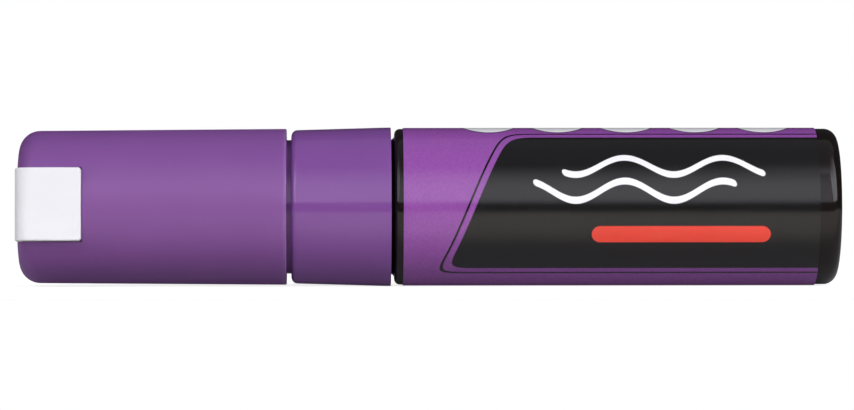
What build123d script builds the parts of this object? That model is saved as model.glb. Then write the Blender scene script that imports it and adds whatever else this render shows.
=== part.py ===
from build123d import *

import math
import os

# A broad liquid chalk marker that lies along X, with its cap at -X and the bottle's tail at +X.
# Lengths are millimetres. The floor is z = 0, and x = 0 is the middle of the overall length.
# Each outer diameter is built up from the nib outwards, and each length is a stack of the pieces inside.

os.makedirs("parts", exist_ok=True)

# Fits shared by all pieces
slide_clearance = 0.1  # radial gap between pieces that slide on each other
press_clearance = 0.05  # radial gap between pieces that are pressed or snapped together
cut_overrun = 1.0  # how far a cutting shape runs past the face that it opens

# Nib
nib_width = 14.0
nib_thickness = 5.0
nib_slant = 2.0  # how much further back the upper corner of the writing edge lies
nib_bevel_depth = 1.4
nib_bevel_length = 3.6
nib_projection = 10.0  # nib in front of the nose
nib_tail = 1.4  # nib behind its holder
nib_travel = 2.0  # how far the nib is pressed in to open the valve

# Nib holder
nose_wall = 1.14  # wall outside the corners of the nib's channel
nose_length = 9.0
nose_chamfer = 0.6
nose_ledge = 1.4  # how far the holder's body stands out from its nose
holder_body_length = 6.4
vent_width = 1.8
vent_depth = 0.8

# Front section: neck and collar
neck_wall = 1.6
neck_front_wall = 1.6
neck_chamfer = 0.8
collar_length = 17.4
collar_web = 2.4
collar_wall = 2.2  # at the rear rim
collar_flare = 0.5  # how much the radius grows from front to rear
collar_swell = 0.06  # how far its side bows out between the two ends
collar_corner_radius = 1.05
collar_rim_chamfer = 0.3

# Valve
pusher_diameter = 12.8
pusher_thickness = 2.4
pusher_floor = 0.9
stop_gap = 0.4
valve_wall = 1.65
seat_wall = 1.6
valve_rear_length = 6.2  # from the seat to the collar's web
valve_flange = 1.0
stem_diameter = 3.2
ink_gap = 1.0  # ring of ink round the stem in the seat
seal_thickness = 1.0
seal_land = 1.4  # width of the seal's ring on the seat
head_lip = 0.1
head_thickness = 1.4
head_guide_gap = 0.5
boss_wall = 1.0
boss_length = 3.5
spring_wire = 0.6
spring_fit = 0.2
spring_length = 10.0
spring_turns = 5
spring_pin_diameter = 5.0
spring_pin_length = 2.5
spring_spigot_length = 1.6
cage_wall = 1.0
cage_end_wall = 1.0
cage_drain_diameter = 2.0
cage_window_count = 4
cage_window_width = 4.0
cage_window_margin = 0.8
gasket_thickness = 1.0

# Bottle
neck_setback = 0.05  # how much slimmer the bottle's neck is than the neck that the cap slides on
bottle_neck_wall = 1.45
bead_height = 0.6
bead_width = 1.8
bead_inset = 3.0
shoulder_gap = 0.55
shoulder_step = 2.0
shoulder_round = 1.05
neck_root_fillet = 0.9
bottle_length = 77.6
bottle_wall = 1.45
bottle_base = 1.8
tail_round = 2.25
cavity_round = 1.5

# Label
label_thickness = 0.15
label_glue = 0.02
label_start = 1.55  # bare bottle between the shoulder and the label
label_tail_margin = 3.95  # bare bottle behind the label

# Mixing balls
ball_diameter = 8.0
ball_gap = 0.15
ball_lane_turn = 2.8  # degrees that the pair lies up the far side of the bottle

# Cap
mouth_gap = 0.8  # neck that shows between the cap and the collar
cap_wall = 1.85  # at the mouth
cap_draft = 0.35  # how much smaller the radius is at the closed end
cap_end_wall = 2.6
cap_corner_radius = 3.6
cap_mouth_round = 0.25
cap_lead_in = 0.5
tip_room = 5.5  # free space in front of the nib

# Inner cap
inner_cap_relief = 0.35  # how far its bore stands off the nose
inner_cap_wall = 0.8
inner_cap_base = 0.8
inner_cap_gap = 1.2
inner_cap_lip = 2.0
inner_cap_flange = 1.2

# Crown insert
crown_turn = 2.2  # degrees that the crown is turned up from facing the viewer
crown_proud = 0.25  # how far it stands out of the cap's end
crown_bend_radius = 3.0
crown_edge_round = 0.35
tab_width = 12.7
tab_length = 11.56
tab_thickness = 2.75
tab_proud = 0.4  # how far the tab's flat face stands out of the cap's side
tab_gap = 0.1
tab_corner_radius = 0.6
tab_wall = 1.0  # what is left of the tab where it is cored out from behind
pocket_wall = 1.59
channel_depth = 1.0
bar_reach = 8.0  # how far the end bar runs past the middle of the cap's end
peg_diameter = 2.4
peg_offset = 4.5
peg_floor = 0.4

# Radii, from the nib outwards
channel_width = nib_width + 2 * slide_clearance
channel_thickness = nib_thickness + 2 * slide_clearance
nose_radius = math.hypot(channel_width, channel_thickness) / 2 + nose_wall
valve_bore_radius = nose_radius + nose_ledge
valve_radius = valve_bore_radius - press_clearance
chamber_radius = valve_radius - valve_wall
neck_radius = valve_bore_radius + neck_wall
bottle_neck_radius = neck_radius - neck_setback
bottle_neck_bore_radius = bottle_neck_radius - bottle_neck_wall
skirt_bore_radius = bottle_neck_radius + press_clearance
bead_radius = bottle_neck_radius + bead_height
collar_rear_radius = skirt_bore_radius + collar_wall
collar_front_radius = collar_rear_radius - collar_flare
bottle_radius = bottle_neck_radius + shoulder_step
bottle_cavity_radius = bottle_radius - bottle_wall
label_radius = bottle_radius + label_glue + label_thickness
cap_bore_radius = neck_radius + slide_clearance
cap_mouth_radius = cap_bore_radius + cap_wall
cap_end_radius = cap_mouth_radius - cap_draft
inner_cap_lip_radius = nose_radius + slide_clearance
inner_cap_bore_radius = nose_radius + inner_cap_relief
inner_cap_radius = inner_cap_bore_radius + inner_cap_wall
cap_cavity_radius = inner_cap_radius + press_clearance
stem_radius = stem_diameter / 2
seat_hole_radius = stem_radius + ink_gap
seal_radius = seat_hole_radius + seal_land
head_radius = seal_radius + head_lip
boss_bore_radius = head_radius + head_guide_gap
boss_radius = boss_bore_radius + boss_wall
cage_bore_radius = boss_radius + press_clearance
cage_radius = cage_bore_radius + cage_wall
spring_pin_radius = spring_pin_diameter / 2
spring_radius = spring_pin_radius + spring_fit + spring_wire / 2

# Distances of the crown's tab from the axis
tab_face = cap_end_radius + tab_proud
tab_seat = tab_face - tab_thickness

# Stations along X, from the crown to the tail
chamber_length = nib_tail + pusher_thickness + nib_travel + stop_gap
neck_stack = neck_front_wall + holder_body_length + chamber_length + seat_wall + valve_rear_length
neck_length = neck_stack - collar_web
cap_stack = cap_end_wall + inner_cap_base + tip_room + nib_projection + nose_length + neck_length
cap_length = cap_stack - mouth_gap
overall_length = crown_proud + cap_stack + collar_length + shoulder_gap + bottle_length
crown_end_x = -overall_length / 2
cap_end_x = crown_end_x + crown_proud
cap_floor_x = cap_end_x + cap_end_wall
channel_floor_x = cap_end_x + channel_depth
tab_rear_x = crown_end_x + tab_length
pocket_rear_x = tab_rear_x + tab_gap
cap_step_x = pocket_rear_x + pocket_wall
cap_mouth_x = cap_end_x + cap_length
inner_cap_floor_x = cap_floor_x + inner_cap_base
nib_tip_x = inner_cap_floor_x + tip_room
nose_front_x = nib_tip_x + nib_projection
neck_front_x = nose_front_x + nose_length
inner_cap_mouth_x = neck_front_x - inner_cap_gap
holder_step_x = neck_front_x + neck_front_wall
holder_rear_x = holder_step_x + holder_body_length
nib_rear_x = holder_rear_x + nib_tail
stem_front_x = nib_rear_x + pusher_floor
seat_front_x = holder_rear_x + chamber_length
seat_rear_x = seat_front_x + seat_wall
head_front_x = seat_rear_x + seal_thickness
head_rear_x = head_front_x + head_thickness
boss_rear_x = seat_rear_x + boss_length
cage_floor_x = head_rear_x + spring_length
cage_rear_x = cage_floor_x + cage_end_wall
collar_front_x = cap_mouth_x + mouth_gap
web_rear_x = collar_front_x + collar_web
gasket_front_x = web_rear_x + valve_flange
bottle_neck_x = gasket_front_x + gasket_thickness
bead_x = bottle_neck_x + bead_inset
collar_rear_x = collar_front_x + collar_length
shoulder_x = collar_rear_x + shoulder_gap
cavity_front_x = shoulder_x + bottle_wall
label_front_x = shoulder_x + label_start
tail_x = shoulder_x + bottle_length
label_rear_x = tail_x - label_tail_margin
cavity_rear_x = tail_x - bottle_base

# The marker lies on its widest ring
axis_height = max(collar_rear_radius, label_radius, cap_mouth_radius)
marker_axis = Axis((0, 0, axis_height), (1, 0, 0))


def outward(turn):
    """Direction away from the axis; 0 degrees faces the viewer (-Y) and 90 degrees is straight up."""
    angle = math.radians(turn)
    return Vector(0, -math.cos(angle), math.sin(angle))


def axial_plane(turn):
    """Plane through the marker's axis: its x runs along the marker and its y is the outward direction."""
    along = Vector(1, 0, 0)
    return Plane(origin=(0, 0, axis_height), x_dir=along, z_dir=along.cross(outward(turn)))


def radial_plane(turn):
    """Plane through the axis that faces the outward direction: its x runs along the marker."""
    return Plane(origin=(0, 0, axis_height), x_dir=(1, 0, 0), z_dir=outward(turn))


def cross_plane(x, turn):
    """Plane square to the axis at x: its x is the outward direction, and it faces the tail."""
    return Plane(origin=(x, 0, axis_height), x_dir=outward(turn), z_dir=(1, 0, 0))


def corner(section, x, radius):
    """The corner of a section that lies at x and radius."""
    return section.vertices().sort_by_distance(Vector(x, radius))[0]


up_turn = 90
section_plane = axial_plane(up_turn)

# Bottle: blow-moulded body with its shoulder, neck and snap bead
with BuildPart() as bottle:
    with BuildSketch(section_plane) as bottle_section:
        with BuildLine():
            Polyline(
                (bottle_neck_x, bottle_neck_bore_radius),
                (bottle_neck_x, bottle_neck_radius),
                (bead_x - bead_width / 2, bottle_neck_radius),
                (bead_x, bead_radius),
                (bead_x + bead_width / 2, bottle_neck_radius),
                (shoulder_x, bottle_neck_radius),
                (shoulder_x, bottle_radius),
                (tail_x, bottle_radius),
                (tail_x, 0),
                (cavity_rear_x, 0),
                (cavity_rear_x, bottle_cavity_radius),
                (cavity_front_x + bottle_cavity_radius - bottle_neck_bore_radius, bottle_cavity_radius),
                (cavity_front_x, bottle_neck_bore_radius),
                close=True,
            )
        make_face()
        fillet(corner(bottle_section, shoulder_x, bottle_neck_radius), radius=neck_root_fillet)
        fillet(corner(bottle_section, shoulder_x, bottle_radius), radius=shoulder_round)
        fillet(corner(bottle_section, tail_x, bottle_radius), radius=tail_round)
        fillet(corner(bottle_section, cavity_rear_x, bottle_cavity_radius), radius=cavity_round)
    revolve(axis=marker_axis)
bottle.part.label = "bottle"
export_step(bottle.part, "parts/bottle.step")

# Label: film wrapped round the bottle, on a thin layer of glue
with BuildPart() as label_sleeve:
    with BuildSketch(section_plane):
        with BuildLine():
            Polyline(
                (label_front_x, bottle_radius + label_glue),
                (label_front_x, label_radius),
                (label_rear_x, label_radius),
                (label_rear_x, bottle_radius + label_glue),
                close=True,
            )
        make_face()
    revolve(axis=marker_axis)
label_sleeve.part.label = "label_sleeve"
export_step(label_sleeve.part, "parts/label_sleeve.step")

# Front section: the neck that the cap slides on and the flared collar that snaps over the bottle's neck
collar_middle_x = (collar_front_x + collar_rear_x) / 2
collar_middle_radius = (collar_front_radius + collar_rear_radius) / 2 + collar_swell
groove_half_width = bead_width / 2 + press_clearance
groove_radius = bead_radius + press_clearance
with BuildPart() as front_section:
    with BuildSketch(section_plane) as front_profile:
        with BuildLine():
            ThreePointArc(
                (collar_front_x, collar_front_radius),
                (collar_middle_x, collar_middle_radius),
                (collar_rear_x, collar_rear_radius),
            )
            Polyline(
                (collar_rear_x, collar_rear_radius),
                (collar_rear_x, skirt_bore_radius),
                (bead_x + groove_half_width, skirt_bore_radius),
                (bead_x, groove_radius),
                (bead_x - groove_half_width, skirt_bore_radius),
                (web_rear_x, skirt_bore_radius),
                (web_rear_x, valve_bore_radius),
                (holder_step_x, valve_bore_radius),
                (holder_step_x, nose_radius + press_clearance),
                (neck_front_x, nose_radius + press_clearance),
                (neck_front_x, neck_radius),
                (collar_front_x, neck_radius),
                (collar_front_x, collar_front_radius),
            )
        make_face()
        fillet(corner(front_profile, collar_front_x, collar_front_radius), radius=collar_corner_radius)
        chamfer(corner(front_profile, collar_rear_x, skirt_bore_radius), length=collar_rim_chamfer)
        chamfer(corner(front_profile, neck_front_x, neck_radius), length=neck_chamfer)
    revolve(axis=marker_axis)
front_section.part.label = "front_section"
export_step(front_section.part, "parts/front_section.step")

# Nib holder: the nose with the nib's channel, and vents that let air past the nib
with BuildPart() as nib_holder:
    with BuildSketch(section_plane) as holder_section:
        with BuildLine():
            Polyline(
                (nose_front_x, 0),
                (nose_front_x, nose_radius),
                (holder_step_x, nose_radius),
                (holder_step_x, valve_radius),
                (holder_rear_x, valve_radius),
                (holder_rear_x, 0),
                close=True,
            )
        make_face()
        chamfer(corner(holder_section, nose_front_x, nose_radius), length=nose_chamfer)
    revolve(axis=marker_axis)
    with BuildSketch(cross_plane(nose_front_x - cut_overrun, up_turn)):
        Rectangle(channel_width, channel_thickness)
        Rectangle(vent_width, channel_thickness + 2 * vent_depth)
    extrude(amount=holder_rear_x - nose_front_x + 2 * cut_overrun, mode=Mode.SUBTRACT)
nib_holder.part.label = "nib_holder"
export_step(nib_holder.part, "parts/nib_holder.step")

# Nib: a felt block with a slanted writing edge, bevelled on both faces
with BuildPart() as nib:
    with BuildSketch(axial_plane(up_turn)):
        with BuildLine():
            Polyline(
                (nib_tip_x, -nib_width / 2),
                (nib_tip_x + nib_slant, nib_width / 2),
                (nib_rear_x, nib_width / 2),
                (nib_rear_x, -nib_width / 2),
                close=True,
            )
        make_face()
    extrude(amount=nib_thickness / 2, both=True)
    writing_face = nib.faces().sort_by(Axis.X)[0]
    writing_edges = writing_face.edges().sort_by(SortBy.LENGTH)[-2:]
    chamfer(writing_edges, length=nib_bevel_depth, length2=nib_bevel_length, reference=writing_face)
nib.part.label = "nib"
export_step(nib.part, "parts/nib.step")

# Nib pusher: the disc that passes the nib's push on to the valve stem
with BuildPart() as nib_pusher:
    with BuildSketch(cross_plane(nib_rear_x, up_turn)):
        Circle(pusher_diameter / 2)
    extrude(amount=pusher_thickness)
    with BuildSketch(cross_plane(stem_front_x, up_turn)):
        Circle(stem_radius + press_clearance)
    extrude(amount=pusher_thickness, mode=Mode.SUBTRACT)
nib_pusher.part.label = "nib_pusher"
export_step(nib_pusher.part, "parts/nib_pusher.step")

# Valve seat: the body pressed into the neck, with the seat wall, the cage's boss and a clamped flange
with BuildPart() as valve_seat:
    with BuildSketch(section_plane):
        with BuildLine():
            Polyline(
                (holder_rear_x, chamber_radius),
                (holder_rear_x, valve_radius),
                (web_rear_x, valve_radius),
                (web_rear_x, bottle_neck_radius),
                (gasket_front_x, bottle_neck_radius),
                (gasket_front_x, chamber_radius),
                (seat_rear_x, chamber_radius),
                (seat_rear_x, boss_radius),
                (boss_rear_x, boss_radius),
                (boss_rear_x, boss_bore_radius),
                (seat_rear_x, boss_bore_radius),
                (seat_rear_x, seat_hole_radius),
                (seat_front_x, seat_hole_radius),
                (seat_front_x, chamber_radius),
                close=True,
            )
        make_face()
    revolve(axis=marker_axis)
valve_seat.part.label = "valve_seat"
export_step(valve_seat.part, "parts/valve_seat.step")

# Valve stem: the rod, the valve head and the pin that centres the spring
with BuildPart() as valve_stem:
    with BuildSketch(section_plane):
        with BuildLine():
            Polyline(
                (stem_front_x, 0),
                (stem_front_x, stem_radius),
                (head_front_x, stem_radius),
                (head_front_x, head_radius),
                (head_rear_x, head_radius),
                (head_rear_x, spring_pin_radius),
                (head_rear_x + spring_pin_length, spring_pin_radius),
                (head_rear_x + spring_pin_length, 0),
                close=True,
            )
        make_face()
    revolve(axis=marker_axis)
valve_stem.part.label = "valve_stem"
export_step(valve_stem.part, "parts/valve_stem.step")

# Valve seal: an elastomer washer between the valve head and the seat
with BuildPart() as valve_seal:
    with BuildSketch(cross_plane(seat_rear_x, up_turn)):
        Circle(seal_radius)
        Circle(stem_radius + press_clearance, mode=Mode.SUBTRACT)
    extrude(amount=seal_thickness)
valve_seal.part.label = "valve_seal"
export_step(valve_seal.part, "parts/valve_seal.step")

# Valve cage: pushed over the seat's boss, with windows for the ink and a spigot for the spring
cage_window_length = cage_floor_x - boss_rear_x - 2 * cage_window_margin
with BuildPart() as valve_cage:
    with BuildSketch(section_plane):
        with BuildLine():
            Polyline(
                (seat_rear_x, cage_bore_radius),
                (seat_rear_x, cage_radius),
                (cage_rear_x, cage_radius),
                (cage_rear_x, cage_drain_diameter / 2),
                (cage_floor_x - spring_spigot_length, cage_drain_diameter / 2),
                (cage_floor_x - spring_spigot_length, spring_pin_radius),
                (cage_floor_x, spring_pin_radius),
                (cage_floor_x, cage_bore_radius),
                close=True,
            )
        make_face()
    revolve(axis=marker_axis)
    for window in range(cage_window_count):
        with BuildSketch(radial_plane(window * 360 / cage_window_count).offset(boss_bore_radius)):
            with Locations(((boss_rear_x + cage_floor_x) / 2, 0)):
                SlotOverall(cage_window_length, cage_window_width)
        extrude(amount=cage_radius - boss_bore_radius + cut_overrun, mode=Mode.SUBTRACT)
valve_cage.part.label = "valve_cage"
export_step(valve_cage.part, "parts/valve_cage.step")

# Valve spring: one wire wound between the valve head and the cage, as two tangent arcs to each quarter turn
quarter_turns = 4 * spring_turns
spring_start_x = head_rear_x + spring_wire / 2
spring_rise = (spring_length - spring_wire) / quarter_turns
coil_slope = spring_rise / (spring_radius * math.pi / 2)


def coil_point(quarter):
    """Middle of the wire after so many quarter turns."""
    on_axis = Vector(spring_start_x + quarter * spring_rise, 0, axis_height)
    return on_axis + outward(90 * quarter) * spring_radius


def coil_direction(quarter):
    """Direction of the wire after so many quarter turns."""
    return (Vector(coil_slope, 0, 0) + outward(90 * quarter + 90)).normalized()


with BuildPart() as valve_spring:
    with BuildLine() as coil:
        for quarter in range(quarter_turns):
            start = coil_point(quarter)
            end = coil_point(quarter + 1)
            leaving = coil_direction(quarter)
            arriving = coil_direction(quarter + 1)
            chord = end - start
            pull = chord.dot(leaving + arriving)
            spread = 2 * (1 - leaving.dot(arriving))
            reach = (math.sqrt(pull**2 + spread * chord.dot(chord)) - pull) / spread
            meeting = (start + end + (leaving - arriving) * reach) / 2
            TangentArc(start, meeting, tangent=leaving)
            TangentArc(meeting, end, tangent=chord - (leaving + arriving) * reach)
    with BuildSketch(Plane(origin=coil_point(0), z_dir=coil_direction(0))):
        Circle(spring_wire / 2)
    sweep(path=coil.wire())
valve_spring.part.label = "valve_spring"
export_step(valve_spring.part, "parts/valve_spring.step")

samples_per_quarter = 8
sample_count = quarter_turns * samples_per_quarter
wire_points = [coil_point(step / samples_per_quarter) for step in range(sample_count + 1)]
wire_spacings = [
    (far - near).length
    for index, near in enumerate(wire_points)
    for far in wire_points[index + 2 * samples_per_quarter :]
]
print(f"valve_spring: least gap to itself {min(wire_spacings) - spring_wire:.2f} mm")

# Neck gasket: the ring squeezed between the valve body's flange and the bottle's neck
with BuildPart() as neck_gasket:
    with BuildSketch(cross_plane(gasket_front_x, up_turn)):
        Circle(bottle_neck_radius)
        Circle(bottle_neck_bore_radius, mode=Mode.SUBTRACT)
    extrude(amount=gasket_thickness)
neck_gasket.part.label = "neck_gasket"
export_step(neck_gasket.part, "parts/neck_gasket.step")

# Mixing balls: two loose steel balls that lie side by side at the tail end of the bottle
ball_radius = ball_diameter / 2
ball_room = ball_radius + ball_gap
ball_lane_radius = bottle_cavity_radius - ball_room
ball_lane_spread = math.degrees(math.asin(ball_room / ball_lane_radius))
ball_rest_x = cavity_rear_x - ball_room
for number, side in ((1, -1), (2, 1)):
    lane_direction = outward(side * ball_lane_spread - up_turn - ball_lane_turn)
    with BuildPart() as mixing_ball:
        with Locations(Vector(ball_rest_x, 0, axis_height) + lane_direction * ball_lane_radius):
            Sphere(ball_radius)
    mixing_ball.part.label = f"mixing_ball_{number}"
    export_step(mixing_ball.part, f"parts/mixing_ball_{number}.step")

# Cap shell: a slightly tapered cup, with a flat-bottomed pocket and an end channel for the crown
pocket_width = tab_width + 2 * tab_gap
peg_length = cap_end_wall - channel_depth - peg_floor
with BuildPart() as cap_shell:
    with BuildSketch(section_plane) as cap_section:
        with BuildLine():
            Polyline(
                (cap_end_x, 0),
                (cap_end_x, cap_end_radius),
                (cap_mouth_x, cap_mouth_radius),
                (cap_mouth_x, cap_bore_radius),
                (cap_step_x, cap_bore_radius),
                (cap_step_x, cap_cavity_radius),
                (cap_floor_x, cap_cavity_radius),
                (cap_floor_x, 0),
                close=True,
            )
        make_face()
        fillet(corner(cap_section, cap_end_x, cap_end_radius), radius=cap_corner_radius)
        fillet(corner(cap_section, cap_mouth_x, cap_mouth_radius), radius=cap_mouth_round)
        chamfer(corner(cap_section, cap_mouth_x, cap_bore_radius), length=cap_lead_in)
    revolve(axis=marker_axis)
    with BuildSketch(axial_plane(crown_turn)):
        with BuildLine():
            Polyline(
                (cap_end_x - cut_overrun, -bar_reach - tab_gap),
                (channel_floor_x, -bar_reach - tab_gap),
                (channel_floor_x, tab_seat),
                (pocket_rear_x, tab_seat),
                (pocket_rear_x, cap_mouth_radius + cut_overrun),
                (cap_end_x - cut_overrun, cap_mouth_radius + cut_overrun),
                close=True,
            )
        make_face()
    extrude(amount=pocket_width / 2, both=True, mode=Mode.SUBTRACT)
    with BuildSketch(cross_plane(channel_floor_x, crown_turn)):
        with Locations((peg_offset, 0), (-peg_offset, 0)):
            Circle(peg_diameter / 2 + press_clearance)
    extrude(amount=peg_length + press_clearance, mode=Mode.SUBTRACT)
cap_shell.part.label = "cap_shell"
export_step(cap_shell.part, "parts/cap_shell.step")

# Crown insert: a flat tab, cored out from behind, that bends over the cap's end and is pegged into it
with BuildPart() as cap_crown:
    with BuildSketch(axial_plane(crown_turn)) as crown_profile:
        with BuildLine():
            Polyline(
                (crown_end_x, -bar_reach),
                (channel_floor_x, -bar_reach),
                (channel_floor_x, tab_seat),
                (tab_rear_x, tab_seat),
                (tab_rear_x, tab_face),
                (crown_end_x, tab_face),
                close=True,
            )
        make_face()
        fillet(corner(crown_profile, crown_end_x, tab_face), radius=crown_bend_radius)
    extrude(amount=tab_width / 2, both=True)
    crown_axis = Axis((0, 0, axis_height), outward(crown_turn))
    tab_corners = cap_crown.edges().filter_by(crown_axis).group_by(Axis.X)[-1]
    bar_corners = cap_crown.edges().filter_by(Axis.X).group_by(crown_axis)[0]
    fillet(tab_corners + bar_corners, radius=tab_corner_radius)
    tab_outside = cap_crown.faces().sort_by(crown_axis)[-1]
    bend_outside = cap_crown.faces().filter_by(GeomType.CYLINDER).sort_by(SortBy.AREA)[-1]
    bar_outside = cap_crown.faces().sort_by(Axis.X)[0]
    outside_edges = tab_outside.edges() + bend_outside.edges() + bar_outside.edges()
    outline = outside_edges.filter_by(lambda edge: sum(map(edge.is_same, outside_edges)) == 1)
    fillet(outline, radius=crown_edge_round)
    with BuildSketch(radial_plane(crown_turn).offset(tab_seat)):
        with Locations(((channel_floor_x + tab_rear_x) / 2, 0)):
            Rectangle(tab_rear_x - channel_floor_x - 2 * tab_wall, tab_width - 2 * tab_wall)
    extrude(amount=tab_thickness - tab_wall, mode=Mode.SUBTRACT)
    with BuildSketch(cross_plane(channel_floor_x, crown_turn)):
        with Locations((peg_offset, 0), (-peg_offset, 0)):
            Circle(peg_diameter / 2)
    extrude(amount=peg_length)
cap_crown.part.label = "cap_crown"
export_step(cap_crown.part, "parts/cap_crown.step")

# Inner cap: a soft cup held by its flange, whose lip closes round the nose
with BuildPart() as inner_cap:
    with BuildSketch(section_plane):
        with BuildLine():
            Polyline(
                (cap_floor_x, 0),
                (cap_floor_x, inner_cap_radius),
                (cap_step_x, inner_cap_radius),
                (cap_step_x, cap_bore_radius - press_clearance),
                (cap_step_x + inner_cap_flange, cap_bore_radius - press_clearance),
                (cap_step_x + inner_cap_flange, inner_cap_radius),
                (inner_cap_mouth_x, inner_cap_radius),
                (inner_cap_mouth_x, inner_cap_lip_radius),
                (inner_cap_mouth_x - inner_cap_lip, inner_cap_lip_radius),
                (inner_cap_mouth_x - inner_cap_lip, inner_cap_bore_radius),
                (inner_cap_floor_x, inner_cap_bore_radius),
                (inner_cap_floor_x, 0),
                close=True,
            )
        make_face()
    revolve(axis=marker_axis)
inner_cap.part.label = "inner_cap"
export_step(inner_cap.part, "parts/inner_cap.step")
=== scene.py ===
import math

import bmesh
import bpy
from mathutils import Matrix, Quaternion, Vector


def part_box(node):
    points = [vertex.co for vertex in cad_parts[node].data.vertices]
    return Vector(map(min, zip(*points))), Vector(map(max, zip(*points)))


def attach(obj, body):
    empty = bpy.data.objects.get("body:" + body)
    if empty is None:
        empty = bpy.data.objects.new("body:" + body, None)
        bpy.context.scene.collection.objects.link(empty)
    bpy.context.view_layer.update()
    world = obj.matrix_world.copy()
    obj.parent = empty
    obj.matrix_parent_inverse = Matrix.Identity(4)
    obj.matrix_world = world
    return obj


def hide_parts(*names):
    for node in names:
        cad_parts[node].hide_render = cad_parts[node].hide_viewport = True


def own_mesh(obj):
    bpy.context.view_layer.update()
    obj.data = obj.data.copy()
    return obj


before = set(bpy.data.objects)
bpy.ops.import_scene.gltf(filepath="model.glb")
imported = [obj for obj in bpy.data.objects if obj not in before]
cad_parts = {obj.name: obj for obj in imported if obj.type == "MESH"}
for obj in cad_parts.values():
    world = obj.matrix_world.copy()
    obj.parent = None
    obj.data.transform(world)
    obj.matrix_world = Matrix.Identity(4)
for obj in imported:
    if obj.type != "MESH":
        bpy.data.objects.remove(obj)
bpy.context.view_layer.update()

# Bottle
# The barrel that holds the ink: a black polypropylene bottle, blow moulded and polished, with a closed tail.
# Its neck has a bead, and the front section is pushed over the neck until it snaps behind that bead.
MM = 0.001
bottle_low, bottle_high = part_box("bottle")
AXIS_HEIGHT = (bottle_low.z + bottle_high.z) / 2 / MM
BOTTLE_RADIUS = 13.651
BOTTLE_BORE_RADIUS = 12.201
BOTTLE_NECK_RADIUS = 11.651
BOTTLE_NECK_BORE_RADIUS = 10.201
BOTTLE_NECK_X = -19.5
BEAD_X = -16.5
BEAD_HALF_WIDTH = 0.9
BEAD_RADIUS = 12.251
SHOULDER_X = -5.95
CAVITY_NECK_X = -4.5
CAVITY_SHOULDER_X = -2.5
CAVITY_REAR_X = 69.85
TAIL_X = 71.65
NECK_ROOT_FILLET = 0.9
SHOULDER_ROUND = 1.05
TAIL_ROUND = 2.25
CAVITY_ROUND = 1.5
ROUND_SEGMENTS = 10
TURN_STEPS = 192
WELD_DISTANCE = 0.002


def turned(profile, rounds):
    """Spins an outline of (x, radius) points about the marker's axis, with some of its corners rounded."""
    bm = bmesh.new()
    corners = [bm.verts.new((x * MM, 0.0, (AXIS_HEIGHT + radius) * MM)) for x, radius in profile]
    for near, far in zip(corners, corners[1:]):
        bm.edges.new((near, far))
    if profile[0][1] > 0:
        bm.edges.new((corners[-1], corners[0]))
    for corner, radius in rounds.items():
        bmesh.ops.bevel(
            bm,
            geom=[corners[profile.index(corner)]],
            offset=radius * MM,
            offset_type="OFFSET",
            segments=ROUND_SEGMENTS,
            profile=0.5,
            affect="VERTICES",
            material=-1,
        )
    bmesh.ops.spin(
        bm,
        geom=bm.verts[:] + bm.edges[:],
        cent=(0.0, 0.0, AXIS_HEIGHT * MM),
        axis=(1.0, 0.0, 0.0),
        angle=math.tau,
        steps=TURN_STEPS,
        use_merge=True,
    )
    bmesh.ops.remove_doubles(bm, verts=bm.verts, dist=WELD_DISTANCE * MM)
    bmesh.ops.recalc_face_normals(bm, faces=bm.faces)
    return bm


def piece(name, bm, crease=32):
    """Makes a smooth-shaded object of a bmesh, with edges steeper than the crease angle left crisp."""
    for face in bm.faces:
        face.smooth = True
    for edge in bm.edges:
        edge.smooth = edge.calc_face_angle(0.0) < math.radians(crease)
    mesh = bpy.data.meshes.new(name)
    bm.to_mesh(mesh)
    bm.free()
    made = bpy.data.objects.new(name, mesh)
    bpy.context.scene.collection.objects.link(made)
    return made


def hex_colour(code):
    """Linear colour of an sRGB hex value."""
    channels = [int(code[place : place + 2], 16) / 255 for place in (1, 3, 5)]
    return [c / 12.92 if c <= 0.04045 else ((c + 0.055) / 1.055) ** 2.4 for c in channels] + [1.0]


def add_node(tree, kind, sockets=None, **settings):
    """Adds a shader node, sets its options, and gives its inputs a value or a link."""
    node = tree.nodes.new(kind)
    for option, value in settings.items():
        setattr(node, option, value)
    for socket, value in (sockets or {}).items():
        if isinstance(value, bpy.types.NodeSocket):
            tree.links.new(value, node.inputs[socket])
        else:
            node.inputs[socket].default_value = value
    return node


# Most of a mottled tone lies between these two levels of its pattern.
MOTTLE_LOW = 0.3
MOTTLE_HIGH = 0.7


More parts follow.
